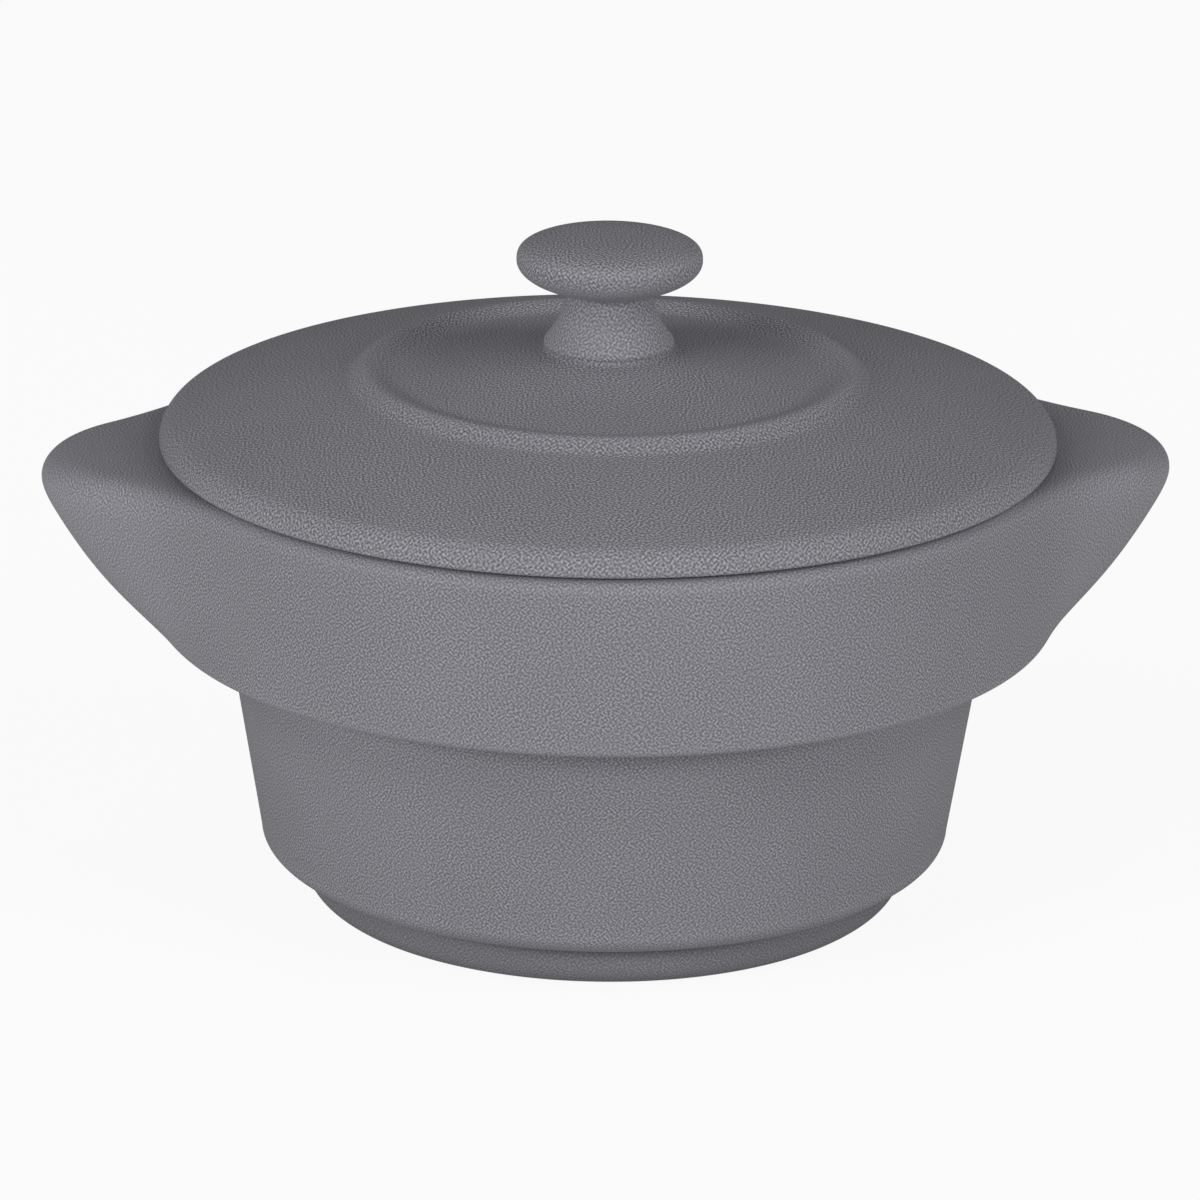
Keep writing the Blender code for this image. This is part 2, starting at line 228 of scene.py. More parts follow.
def closed_body(name, angles, radii, heights, poles, marks):
    """A closed mesh from rows of (radius, height) by angle, from the first pole out and round to the other.

    A point is (radius cos angle, radius sin angle, height). Marks are arrays of that shape, stored by name.
    """
    rows = np.stack((radii * np.cos(angles), radii * np.sin(angles), heights), axis=-1)
    points = np.concatenate((rows.reshape(-1, 3), [(0.0, 0.0, poles[0]), (0.0, 0.0, poles[1])]))
    corners, starts = grid_faces(*radii.shape)
    mesh = bpy.data.meshes.new(name)
    mesh.vertices.add(len(points))
    mesh.vertices.foreach_set("co", points.astype(np.float32).ravel())
    mesh.loops.add(len(corners))
    mesh.loops.foreach_set("vertex_index", corners.astype(np.int32))
    mesh.polygons.add(len(starts))
    mesh.polygons.foreach_set("loop_start", starts.astype(np.int32))
    mesh.update(calc_edges=True)
    mesh.shade_smooth()
    for mark_name, values in marks.items():
        store(mesh, mark_name, "FLOAT", "value", np.append(values, (values[0].mean(), values[-1].mean())))
    for (direction, vectors), axis in zip(surface_directions(rows).items(), np.eye(3)):
        store(mesh, direction, "FLOAT_VECTOR", "vector", np.vstack((vectors.reshape(-1, 3), axis, axis)))
    body = bpy.data.objects.new(name, mesh)
    bpy.context.scene.collection.objects.link(body)
    print(f"{name}: {len(radii)} rows of {len(angles)} points, {len(corners) - 2 * len(starts)} triangles, "
          f"sound: {not mesh.validate()}")
    return body


post = np.array([[(1.0, 0.0, z), (0.0, 1.0, z), (-1.0, 0.0, z), (0.0, -1.0, z)] for z in (0.0, 1.0)])
print("the direction along an upright post:", surface_directions(post)["along"][0, 0])

# %% [markdown]
# ## The pot's outline from above
#
# The ears are the part that takes the most skill. Seen from above each is a round nose, and a hollow arc on
# each side runs from it into the rim's circle. The arc lies outside both circles and touches them, which
# gives the outline no corner. The rim's radius is then a function of the angle alone, and that is all the
# collar needs. The angles are crowded towards the ears, where the outline turns most.

# %% Rim outline
EAR_NOSE_RADIUS = 0.0171
EAR_FLANK_RADIUS = 0.0840
POT_STEPS = 288
EAR_CROWDING = 0.45


def circle_reach(angles, x, y, radius, side):
    """Distance from the axis, by angle, of a circle about (x, y): its far side for 1, its near one for -1."""
    across = x * np.sin(angles) - y * np.cos(angles)
    half_chord = np.sqrt((radius**2 - across**2).clip(0.0))
    return x * np.cos(angles) + y * np.sin(angles) + side * half_chord


def rim_outline(angles):
    """The rim's outer radius by angle: rim circle, a hollow arc along the ear's flank and nose circle."""
    nose_centre = EAR_TIP - EAR_NOSE_RADIUS
    to_rim = EAR_FLANK_RADIUS + RIM_RADIUS
    to_nose = EAR_FLANK_RADIUS + EAR_NOSE_RADIUS
    flank_x = (to_rim**2 - to_nose**2 + nose_centre**2) / (2 * nose_centre)
    flank_y = math.sqrt(to_rim**2 - flank_x**2)
    nose_turn = math.atan2(flank_y, flank_x - nose_centre)
    nose_end_x = nose_centre + EAR_NOSE_RADIUS * math.cos(nose_turn)
    nose_end = math.atan2(EAR_NOSE_RADIUS * math.sin(nose_turn), nose_end_x)
    flank_end = math.atan2(flank_y, flank_x)
    from_ear = np.abs((angles + math.pi / 2) % math.pi - math.pi / 2)
    nose = circle_reach(from_ear, nose_centre, 0.0, EAR_NOSE_RADIUS, 1)
    flank = circle_reach(from_ear, flank_x, flank_y, EAR_FLANK_RADIUS, -1)
    return np.where(from_ear < nose_end, nose, np.where(from_ear < flank_end, flank, RIM_RADIUS))


even = np.linspace(0.0, 2 * math.pi, POT_STEPS, endpoint=False)
pot_angles = even - EAR_CROWDING * np.sin(2 * even) / 2
rim = rim_outline(pot_angles)
print(f"outline: {1000 * rim.min():.2f} mm at the rim, {1000 * rim.max():.2f} mm at the ear tips")

# %% [markdown]
# ## The wall's main sizes
#
# Under the rim come the collar, a step inwards, the drum, a tuck and the foot ring. Each radius and height
# follows from the one above it, so that a change of one size carries along the rest of the wall.

# %% Wall sizes
COLLAR_DEPTH = 0.0238
COLLAR_INSET = 0.0001
STEP_WIDTH = 0.0090
DRUM_HEIGHT = 0.0293
DRUM_TAPER = 0.0046
TUCK_WIDTH = 0.0065
TUCK_HEIGHT = 0.0037
FOOT_TAPER = 0.0028
FOOT_RING_WIDTH = 0.0036

STEP_HEIGHT = RIM_HEIGHT - COLLAR_DEPTH
COLLAR_RADIUS = RIM_RADIUS - COLLAR_INSET
DRUM_TOP_RADIUS = COLLAR_RADIUS - STEP_WIDTH
DRUM_FOOT_RADIUS = DRUM_TOP_RADIUS - DRUM_TAPER
FOOT_HEIGHT = STEP_HEIGHT - DRUM_HEIGHT - TUCK_HEIGHT
FOOT_JOIN_RADIUS = DRUM_FOOT_RADIUS - TUCK_WIDTH
FOOT_STAND_RADIUS = FOOT_JOIN_RADIUS - FOOT_TAPER
FOOT_HOLLOW_RADIUS = FOOT_STAND_RADIUS - FOOT_RING_WIDTH
print(f"step {1000 * STEP_HEIGHT:.1f} mm and foot {1000 * FOOT_HEIGHT:.1f} mm high, "
      f"drum {2000 * DRUM_TOP_RADIUS:.1f} mm and foot {2000 * FOOT_STAND_RADIUS:.1f} mm across")

# %% [markdown]
# ## The foot ring
#
# The pot stands on a ring with a hollow inside it, as a thrown pot does whose base is turned out on the
# wheel. The profile starts near the middle of the base and goes out, down round the ring and up its
# slightly swollen outside. The corners are small curves, because a fired edge is never sharp.

# %% Foot profile
FOOT_SWELL = 0.0003
FOOT_SWELL_HEIGHT = 0.0026
FOOT_HOLLOW_SLOPE = 0.0012
FOOT_EDGE_ROUND = 0.0006
FOOT_EDGE_LEAN = 0.2
FOOT_CORNER_POINTS = 3
BASE_HOLLOW = 0.0045
POLE_RADIUS = 0.0012


def foot_ring():
    """Profile from under the base, down and round the ring and up its swollen outside to the tuck."""
    hollow = (FOOT_HOLLOW_RADIUS - FOOT_HOLLOW_SLOPE, BASE_HOLLOW)
    stand = np.array((FOOT_STAND_RADIUS, 0.0))
    join = np.array((FOOT_JOIN_RADIUS, FOOT_HEIGHT))
    swell = np.array((FOOT_JOIN_RADIUS + FOOT_SWELL, FOOT_SWELL_HEIGHT))
    outer_side = bend(stand, 2 * swell - (stand + join) / 2, join, count=26)[FOOT_CORNER_POINTS:]
    lean = FOOT_EDGE_ROUND * FOOT_EDGE_LEAN
    hollow_corner = bend((hollow[0] - FOOT_EDGE_ROUND, BASE_HOLLOW), hollow,
                         (hollow[0] + lean, BASE_HOLLOW - FOOT_EDGE_ROUND), count=7)
    inner_corner = bend((FOOT_HOLLOW_RADIUS - lean, FOOT_EDGE_ROUND), (FOOT_HOLLOW_RADIUS, 0.0),
                        (FOOT_HOLLOW_RADIUS + FOOT_EDGE_ROUND, 0.0), count=7)
    outer_corner = bend((stand[0] - FOOT_EDGE_ROUND, 0.0), stand, outer_side[0], count=7)
    base = run((POLE_RADIUS, BASE_HOLLOW), hollow_corner[0], count=16)
    return string(base, hollow_corner, inner_corner, outer_corner, outer_side)


foot = foot_ring()
print(f"foot: {len(foot)} points, {2000 * foot[:, 0].max():.1f} mm across at its swell")

# %% [markdown]
# ## The drum
#
# Over the foot the wall tucks out to the drum, which widens a little on its way up to the step under the
# collar. The tuck is a superellipse, a touch fuller than a round corner, and a fillet fills the step.

# %% Drum profile
TUCK_FULLNESS = 2.15
STEP_FILLET = 0.0011


def drum():
    """Profile from the ring out along the full tuck, up the wall and round the fillet to the step."""
    tuck_centre = (FOOT_JOIN_RADIUS, FOOT_HEIGHT + TUCK_HEIGHT)
    tuck = quarter(tuck_centre, TUCK_WIDTH, -TUCK_HEIGHT, TUCK_FULLNESS, end=90, count=30)[::-1]
    fillet_low = STEP_HEIGHT - STEP_FILLET
    wall = run(tuck[-1], (DRUM_TOP_RADIUS, fillet_low), count=34)
    fillet = arc((DRUM_TOP_RADIUS + STEP_FILLET, fillet_low), STEP_FILLET, 180, 90, count=10)
    return string(tuck, wall, fillet)


outside = string(foot, drum())
print(f"foot and drum: {len(outside)} points, up to {1000 * outside[-1, 1]:.1f} mm")

# %% [markdown]
# ## The inside of the pot
#
# The inside follows the outside at the thickness of the wall: down from the mouth's lip, over a shoulder
# where the step is, and down the drum to a floor with a wide round corner that a spoon can reach into.

# %% Inside profile
WALL = 0.0045
FLOOR_THICKNESS = 0.0045
INNER_FLOOR = BASE_HOLLOW + FLOOR_THICKNESS
LIP_ROUND = 0.0010
MOUTH_TAPER = 0.0008
SHOULDER_FILLET = 0.0022
SHOULDER_ROUND = 0.0018
INNER_BOTTOM_ROUND = 0.0070


def pot_inside():
    """Profile from the mouth's lip down the collar, over the shoulder and down the drum to the floor."""
    shoulder = STEP_HEIGHT + WALL
    drum_top = DRUM_TOP_RADIUS - WALL
    drum_foot = DRUM_FOOT_RADIUS - WALL
    fillet_centre = (MOUTH_RADIUS - MOUTH_TAPER - SHOULDER_FILLET, shoulder + SHOULDER_FILLET)
    bottom_centre = (drum_foot - INNER_BOTTOM_ROUND, INNER_FLOOR + INNER_BOTTOM_ROUND)
    lip = arc((MOUTH_RADIUS + LIP_ROUND, RIM_HEIGHT - LIP_ROUND), LIP_ROUND, 90, 180, count=10)
    fillet = arc(fillet_centre, SHOULDER_FILLET, 0, -90, count=9)
    edge = arc((drum_top + SHOULDER_ROUND, shoulder - SHOULDER_ROUND), SHOULDER_ROUND, 90, 180, count=9)
    bottom = arc(bottom_centre, INNER_BOTTOM_ROUND, 0, -90, count=16)
    floor_run = run(bottom[-1], (POLE_RADIUS, INNER_FLOOR), count=24)
    return string(lip, run(lip[-1], fillet[0], count=14), fillet, run(fillet[-1], edge[0], count=4), edge,
                  run(edge[-1], bottom[0], count=22), bottom, floor_run)


inner = pot_inside()
print(f"inside: {len(inner)} points, {1000 * (RIM_HEIGHT - INNER_FLOOR):.1f} mm deep")

# %% [markdown]
# ## The eared collar
#
# Over the step the pot isn't round any more. Each row's radius goes from the round edge at the step to the
# eared outline at the rim, a little fuller than a straight slope, and the rounding of the top edge grows
# towards the ear tips, where a thumb rests. Cut ears would have to be joined to a round wall with a blend.
# A loft of rows has no such join: every row is the one below it, with the ears a little further out.

# %% Collar rows
RIM_EDGE_ROUND = 0.0018
EAR_EDGE_ROUND = 0.0042
COLLAR_EDGE_ROUND = 0.0011
EAR_SWELL = 0.49
EAR_LOW_SWELL = 0.19
COLLAR_EDGE_ROWS = 12
COLLAR_ROWS = 35
RIM_EDGE_ROWS = 17
RIM_TOP_ROWS = 12


def ear_share(rim):
    """How far the ear stands out at each angle: the square root of its share of the whole reach."""
    return np.sqrt((rim - RIM_RADIUS).clip(0.0) / EAR_REACH)


def eared_collar(rim):
    """Rows of the collar: radius and height by angle, from the lower edge to the top of the eared rim.

    The lower edge is an arc that turns up from the step only as far as the wall's own lean. Up the wall the
    radius goes from the collar's to the rim's by the share rise + swell * rise * (1 - rise), where the swell
    is larger low down. The top edge is a quarter circle whose radius grows with the ear's share.
    """
    edge = RIM_EDGE_ROUND + (EAR_EDGE_ROUND - RIM_EDGE_ROUND) * ear_share(rim)
    high = RIM_HEIGHT - edge
    lean = np.arctan2((rim - COLLAR_RADIUS) * (1 + EAR_SWELL + EAR_LOW_SWELL), high - STEP_HEIGHT)
    low_turn = -np.linspace(math.pi / 2, lean, COLLAR_EDGE_ROWS)
    low_radii = COLLAR_RADIUS + COLLAR_EDGE_ROUND * (np.cos(low_turn) - np.cos(lean))
    low_heights = STEP_HEIGHT + COLLAR_EDGE_ROUND * (1 + np.sin(low_turn))
    low = low_heights[-1]
    rise = np.linspace(0.0, 1.0, COLLAR_ROWS + 1)[1:, None]
    flare = rise + rise * (1 - rise) * (EAR_SWELL + EAR_LOW_SWELL * (1 - 2 * rise))
    turn = np.radians(np.linspace(0.0, 90.0, RIM_EDGE_ROWS + 1))[1:, None]
    inward = np.linspace(0.0, 1.0, RIM_TOP_ROWS + 2)[1:-1, None]
    top_radii = (rim - edge) * (1 - inward) + (MOUTH_RADIUS + LIP_ROUND) * inward
    radii = (low_radii, COLLAR_RADIUS + (rim - COLLAR_RADIUS) * flare, rim - edge + edge * np.cos(turn),
             top_radii)
    heights = (low_heights, low + (high - low) * rise, high + edge * np.sin(turn),
               np.broadcast_to(RIM_HEIGHT, top_radii.shape))
    return np.concatenate(radii), np.concatenate(heights)


collar = eared_collar(rim)
print(f"collar: {len(collar[0])} rows, {2000 * collar[0].max():.1f} mm over the ears")

# %% [markdown]
# ## Softer ears
#
# The ears' top edge is softer than a quarter circle: wall, edge and top run into each other. That is made
# by taking means of neighbouring rows, on the ears alone. The round rim between them keeps its own edge.

# %% Softened ears
EAR_SOFTENING = 24
EAR_SOFT_SHARE = 0.5
SOFT_FADE_ROWS = 5


def softened_ears(values, rim):
    """Rows with softer ears: means of rows, faded in up the wall's middle third and out near the lip."""
    last = len(values) - 1
    fade_start = COLLAR_EDGE_ROWS + COLLAR_ROWS / 3
    fade_end = COLLAR_EDGE_ROWS + 2 * COLLAR_ROWS / 3
    edge_rows = np.interp(np.arange(last + 1), (fade_start, fade_end, last - 1 - SOFT_FADE_ROWS, last - 1),
                          (0, 1, 1, 0))
    soft = edge_rows[:, None] * ease(ear_share(rim), 0.0, EAR_SOFT_SHARE)
    return values + soft * (smoothed(values, EAR_SOFTENING) - values)


collar_radii, collar_heights = (softened_ears(values, rim) for values in collar)
print(f"softened: {2000 * collar_radii.max():.1f} mm over the ears")

# %% [markdown]
# ## The pot in one skin
#
# The three stretches of rows are put on top of each other and become one closed mesh. Glaze is wiped off
# the ring that the pot stands on, so that it doesn't stick in the kiln. The ears' lower side gets painted
# light, which makes it paler, and the foot gets painted shade, which makes it darker. Nothing proves that
# the glaze differs there on the real pot: these two tones are chosen for the look, because the light alone
# leaves the ears too dark underneath and the foot too bright.

# %% Pot mesh
WIPED_HEIGHT = (0.0002, 0.0009)
# Painted light on the ears' wall, fading out over their top edge.
EAR_PAINTED_LIGHT = 0.9
# Painted shade on the foot, weak at its bottom, strongest at its top and gone above it.
FOOT_PAINTED_SHADE = (0.3, 1.5)

everywhere = np.ones(POT_STEPS)
pot_radii = np.concatenate((outside[:, :1] * everywhere, collar_radii, inner[:, :1] * everywhere))
pot_heights = np.concatenate((outside[:, 1:] * everywhere, collar_heights, inner[:, 1:] * everywhere))
outer_rows = len(outside) + len(collar_radii)
inside_rows = np.zeros(pot_radii.shape)
inside_rows[outer_rows:] = 1.0
ring_only = ((pot_radii > FOOT_HOLLOW_RADIUS - FOOT_EDGE_ROUND)
             & (pot_radii < FOOT_STAND_RADIUS + FOOT_EDGE_ROUND) & (inside_rows < 1.0))
pot_bare = np.where(ring_only, 1 - ease(pot_heights, *WIPED_HEIGHT), 0.0)
painted_shade_up_the_foot = np.interp(pot_heights, (0.0, FOOT_HEIGHT, FOOT_HEIGHT + FOOT_EDGE_ROUND), (*FOOT_PAINTED_SHADE, 0.0))
wall_end = COLLAR_EDGE_ROWS + COLLAR_ROWS
painted_light_up_the_ear = np.interp(np.arange(len(collar_radii)), (wall_end, wall_end + RIM_EDGE_ROWS),
                       (EAR_PAINTED_LIGHT, 0.0))
ear_painted_light = np.zeros(pot_radii.shape)
ear_painted_light[len(outside):outer_rows] = painted_light_up_the_ear[:, None] * ease(rim - RIM_RADIUS, 0.0, EAR_REACH / 2)
foot_painted_shade = (1 - inside_rows) * painted_shade_up_the_foot
pot_marks = glaze_marks(pot_radii, pot_heights, ear_painted_light, foot_painted_shade, pot_bare, inside_rows)
pot = closed_body("pot_casting", pot_angles, pot_radii, pot_heights, (BASE_HOLLOW, INNER_FLOOR), pot_marks)
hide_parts("pot")
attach(pot, "pot")

# %% [markdown]
# ## The lid's dome
#
# The lid is the same all the way round, so it is one profile turned on a wheel. Its dome is a single curve
# from the rounded edge to the stem, with a raised ring on it. Inside the ring a shallow disc lies a little
# lower than the dome would. Dome and ring are heights over a radius, so that the hollow underside can
# follow the same dome.

# %% Dome and ring
FLANGE_DEPTH = 0.0050
SEAT_HEIGHT = lid_low.z + FLANGE_DEPTH
LID_EDGE_RADIUS = 0.0032
LID_EDGE_SLOPE = 17.0
LID_SEAT_ROUND = 0.0006
DOME_KNEE = (0.0439, 0.0079)
DOME_TOP_HEIGHT = 0.0130
STEM_BASE_RADIUS = 0.0087
RING_RADIUS = 0.0328
RING_HEIGHT = 0.0013
RING_OUTER_SLOPE = 0.0026
RING_INNER_SLOPE = 0.0048
DISC_DROP = 0.0004


def dome_heights(radii):
    """Height of the plain dome over the seat: one curve from the rounded edge up to the stem."""
    slope = math.radians(LID_EDGE_SLOPE)
    edge = (LID_RADIUS - LID_EDGE_RADIUS + LID_EDGE_RADIUS * math.sin(slope),
            LID_SEAT_ROUND + LID_EDGE_RADIUS * math.cos(slope))
    curve = bend((STEM_BASE_RADIUS, DOME_TOP_HEIGHT), DOME_KNEE, edge, count=400)
    return np.interp(radii, curve[:, 0], curve[:, 1])


def ring_heights(radii):
    """How far the ring stands over the plain dome: a squared cosine, with its own width on each side.

    Inside the ring it goes on down, by the rest of that square, to the edge of the disc under the dome.
    """
    side = np.where(radii < RING_RADIUS, RING_INNER_SLOPE, RING_OUTER_SLOPE)
    crest = np.cos(((radii - RING_RADIUS) / side).clip(-1.0, 1.0) * math.pi / 2) ** 2
    return RING_HEIGHT * crest - np.where(radii < RING_RADIUS, DISC_DROP * (1 - crest), 0.0)


ring_top = dome_heights(RING_RADIUS) + RING_HEIGHT
print(f"ring {1000 * ring_top:.1f} mm and dome {1000 * DOME_TOP_HEIGHT:.1f} mm over the seat")

# %% [markdown]
# ## The lid's underside
#
# Under the dome the lid is hollow, with a flange that drops into the mouth and keeps the lid in its place.
# The profile goes out under the dome, down and round the flange and along the seat that rests on the rim.

# %% Underside profile
LID_WALL = 0.0045
FLANGE_PLAY = 0.0009
FLANGE_RADIUS = MOUTH_RADIUS - FLANGE_PLAY
FLANGE_WIDTH = 0.0040
FLANGE_ROUND = 0.0012


def lid_underside():
    """Profile from the axis out under the dome, then down and round the flange and out along the seat."""
    flange_inner = FLANGE_RADIUS - FLANGE_WIDTH
    low = FLANGE_ROUND - FLANGE_DEPTH
    radii = np.linspace(POLE_RADIUS, flange_inner, num=36)
    hollow = np.column_stack((radii, dome_heights(radii) - LID_WALL))
    inner_round = arc((flange_inner + FLANGE_ROUND, low), FLANGE_ROUND, 180, 270, count=9)
    outer_round = arc((FLANGE_RADIUS - FLANGE_ROUND, low), FLANGE_ROUND, -90, 0, count=9)
    seat_start, seat_end = (FLANGE_RADIUS, 0.0), (LID_RADIUS - LID_SEAT_ROUND, 0.0)
    return string(hollow, run(hollow[-1], inner_round[0], count=6), inner_round, outer_round,
                  run(outer_round[-1], seat_start, count=6), run(seat_start, seat_end, count=8))


underside = lid_underside()
print(f"underside: {len(underside)} points, flange {2000 * FLANGE_RADIUS:.1f} mm across")

# %% [markdown]
# ## The lid's top
#
# From the seat the profile goes on round the edge, up the dome, over the ring and across the disc, which
# sags a little, to the stem. The points lie closer together on the ring, where the light changes most.

# %% Top profile
DISC_SAG = 0.0008


def lid_top():
    """Profile from the seat round the edge, up the dome, over the ring and across the disc to the stem."""
    seat_round = arc((LID_RADIUS - LID_SEAT_ROUND, LID_SEAT_ROUND), LID_SEAT_ROUND, -90, 0, count=7)
    edge_centre = (LID_RADIUS - LID_EDGE_RADIUS, LID_SEAT_ROUND)
    edge = arc(edge_centre, LID_EDGE_RADIUS, 0, 90 - LID_EDGE_SLOPE, count=20)
    ring_outside, ring_inside = RING_RADIUS + RING_OUTER_SLOPE, RING_RADIUS - RING_INNER_SLOPE
    radii = np.concatenate((np.linspace(edge[-1, 0], ring_outside, num=34)[1:-1],
                            np.linspace(ring_outside, ring_inside, num=34)))
    dome = np.column_stack((radii, dome_heights(radii) + ring_heights(radii)))
    stem = np.array((STEM_BASE_RADIUS, DOME_TOP_HEIGHT))
    disc = bend(dome[-1], (dome[-1] + stem) / 2 - (0.0, DISC_SAG), stem, count=28)
    return string(seat_round, edge, dome, disc)


top = lid_top()
print(f"top: {len(top)} points, {1000 * top[-1, 1]:.1f} mm high at the stem")

# %% [markdown]
# ## The knob
#
# The knob is a mushroom on a hollow-sided stem, with a small lip where the stem leaves the disc. Its cap is
# two superellipses that meet at the widest place: a flat, full one for the crown and a rounder one below
# it, which runs through a fillet into the neck. A squashed ball would be either too pointed or too flat on
# top.

# %% Knob profile
STEM_LIP_ROUND = 0.0009
STEM_LIP_TOP = 45.0
STEM_LIP_FOOT = -30.0
STEM_HOLLOW = 0.0011
NECK_RADIUS = 0.0058
NECK_FILLET = 0.0009
CAP_RADIUS = 0.0124
CAP_TOP_RISE = 0.0034
CAP_TOP_FULLNESS = 2.9
CAP_UNDER_DROP = 0.0045
CAP_UNDER_FULLNESS = 2.05
CAP_MIDDLE_HEIGHT = lid_high.z - SEAT_HEIGHT - CAP_TOP_RISE


def knob_profile():
    """Profile from the lip at the stem's base up the hollow stem, out under the cap and over its crown."""
    middle = (0.0, CAP_MIDDLE_HEIGHT)
    neck_share = (NECK_RADIUS + NECK_FILLET) / CAP_RADIUS
    under_end = math.degrees(math.acos(neck_share ** (CAP_UNDER_FULLNESS / 2)))
    under = quarter(middle, CAP_RADIUS, -CAP_UNDER_DROP, CAP_UNDER_FULLNESS, under_end, count=26)[::-1]
    neck_low = (NECK_RADIUS, under[0, 1] - NECK_FILLET)
    neck = bend(neck_low, (NECK_RADIUS, under[0, 1]), under[0], count=9)
    lip_centre = (STEM_BASE_RADIUS - STEM_LIP_ROUND, DOME_TOP_HEIGHT + STEM_LIP_ROUND)
    lip = arc(lip_centre, STEM_LIP_ROUND, STEM_LIP_FOOT, STEM_LIP_TOP, count=12)
    middle_of_stem = (lip[-1] + np.array(neck_low)) / 2
    stem = bend(lip[-1], middle_of_stem - (STEM_HOLLOW, 0.0), neck_low, count=24)
    crown = quarter(middle, CAP_RADIUS, CAP_TOP_RISE, CAP_TOP_FULLNESS, end=90, count=44)[:-1]
    return string(lip, stem, neck, under, crown)


knob = knob_profile()
print(f"knob: {len(knob)} points, cap {2000 * knob[:, 0].max():.1f} mm across")

# %% [markdown]
# ## The lid in one skin
#
# The profile is repeated at every angle and becomes one closed mesh. The flange's lower edge is left
# without glaze, as the pot's foot is. Stem and cap underside get painted light, which makes them paler.
# That is chosen for the look, as under the ears, because little light reaches the place under the cap.

# %% Lid mesh
LID_STEPS = 264
FLANGE_WIPED = (0.0006, 0.0014)
# Painted light on the stem, far stronger at the neck under the cap, gone at the cap's widest place.
STEM_PAINTED_LIGHT = 0.8
CAP_UNDER_PAINTED_LIGHT = 5.0
NECK_DROP = 0.0038

lid_profile = string(underside, top, knob)
lid_angles = np.linspace(0.0, 2 * math.pi, LID_STEPS, endpoint=False)
lid_radii = lid_profile[:, :1] * np.ones(LID_STEPS)
lid_heights = SEAT_HEIGHT + lid_profile[:, 1:] * np.ones(LID_STEPS)
under_rows = np.zeros(lid_radii.shape)
under_rows[:len(underside)] = 1.0
lid_bare = under_rows * (1 - ease(lid_heights - lid_low.z, *FLANGE_WIPED))
knob_rows = (1 - under_rows) * (lid_heights > SEAT_HEIGHT + DOME_TOP_HEIGHT + STEM_LIP_ROUND / 2)
cap_middle = lid_high.z - CAP_TOP_RISE
neck_top = cap_middle - NECK_DROP
painted_light_up_the_knob = np.interp(lid_heights, (neck_top - NECK_FILLET / 2, neck_top, cap_middle),
                        (STEM_PAINTED_LIGHT, CAP_UNDER_PAINTED_LIGHT, 0.0))
lid_marks = glaze_marks(lid_radii, lid_heights, knob_rows * painted_light_up_the_knob, 0.0, lid_bare, under_rows)
lid_poles = (SEAT_HEIGHT + dome_heights(0.0) - LID_WALL, lid_high.z)
lid = closed_body("lid_casting", lid_angles, lid_radii, lid_heights, lid_poles, lid_marks)
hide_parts("lid")
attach(lid, "lid")

# %% [markdown]
# ## Small helpers for shader nodes
#
# A finish is a tree of nodes, which could be drawn by hand in the shader editor. In a script these helpers
# add a node with its settings, link what is a socket and set what is a number, so that what follows reads
# as formulas.

# %% Node helpers
def add(tree, kind, values=None, **settings):
    """A node of that kind. A value that is a socket is linked to the input, any other is set on it."""
    made = tree.nodes.new(kind)
    for name, value in settings.items():
        setattr(made, name, value)
    for name, value in (values or {}).items():
        if isinstance(value, bpy.types.NodeSocket):
            tree.links.new(value, made.inputs[name])
        else:
            made.inputs[name].default_value = value
    return made


def maths(tree, operation, first, second):
    """One step of arithmetic or a comparison of two values."""
    return add(tree, "ShaderNodeMath", {0: first, 1: second}, operation=operation).outputs[0]


def span(tree, value, low, high, to_low, to_high):
    """The value carried from one range to another along a soft S."""
    ends = {"Value": value, "From Min": low, "From Max": high, "To Min": to_low, "To Max": to_high}
    return add(tree, "ShaderNodeMapRange", ends, interpolation_type="SMOOTHSTEP").outputs["Result"]


def mixed(tree, share, first, second):
    """One colour going over into another."""
    return add(tree, "ShaderNodeMix", {0: share, 6: first, 7: second}, data_type="RGBA").outputs[2]


print("node helpers:", [helper.__name__ for helper in (add, maths, span, mixed)])

# %% [markdown]
# ## Patterns and groups
#
# A pattern of a real size needs coordinates in which one unit is that size, so they are scaled before the
# noise is read. A node group is to a shader what a function is to a script: what pot and lid share is made
# once and used in both.

# %% Pattern helpers
def scaled(tree, vector, length):
    """Coordinates in which one unit is this length, in metres."""
    return add(tree, "ShaderNodeVectorMath", {0: vector, "Scale": 1 / length}, operation="SCALE").outputs[0]


def noise(tree, vector, detail, roughness=0.5):
    """Smooth noise between 0 and 1, about one bump to a unit, with finer ones added by detail."""
    values = {"Vector": vector, "Scale": 1.0, "Detail": detail, "Roughness": roughness}
    return add(tree, "ShaderNodeTexNoise", values).outputs["Fac"]


def new_group(name, inputs, outputs):
    """An empty shader node group with these sockets, and its input and output nodes."""
    group = bpy.data.node_groups.new(name, "ShaderNodeTree")
    for side, sockets in (("INPUT", inputs), ("OUTPUT", outputs)):
        for socket, kind in sockets.items():
            group.interface.new_socket(socket, in_out=side, socket_type=kind)
    return group, group.nodes.new("NodeGroupInput"), group.nodes.new("NodeGroupOutput")


print("pattern helpers:", [helper.__name__ for helper in (scaled, noise, new_group)])

# %% [markdown]
# ## The pebbled grain
#
# This glaze has a skin of tiny pebbles, about half a millimetre apart and much the same size. Plain noise
# has bumps of many widths, so the wide ones are taken out: each place is set against the mean of four
# places round it, and only what stands out from them is kept. The four lie on the surface itself, along the
# two directions that are stored with the mesh, because noise fills space and a bump that lies flat against
# the wall would come out wide. The grain isn't equally strong all over, so a slow noise fades it in
# patches.

# %% Grain group
GRAIN_SIZE = 0.00030
GRAIN_AROUND = 0.75
GRAIN_PIT, GRAIN_TOP = -0.30, 0.60
GRAIN_PATCH = 0.0060
PATCH_NOISE = (0.32, 0.66)
PATCH_STRENGTH = (0.88, 1.0)


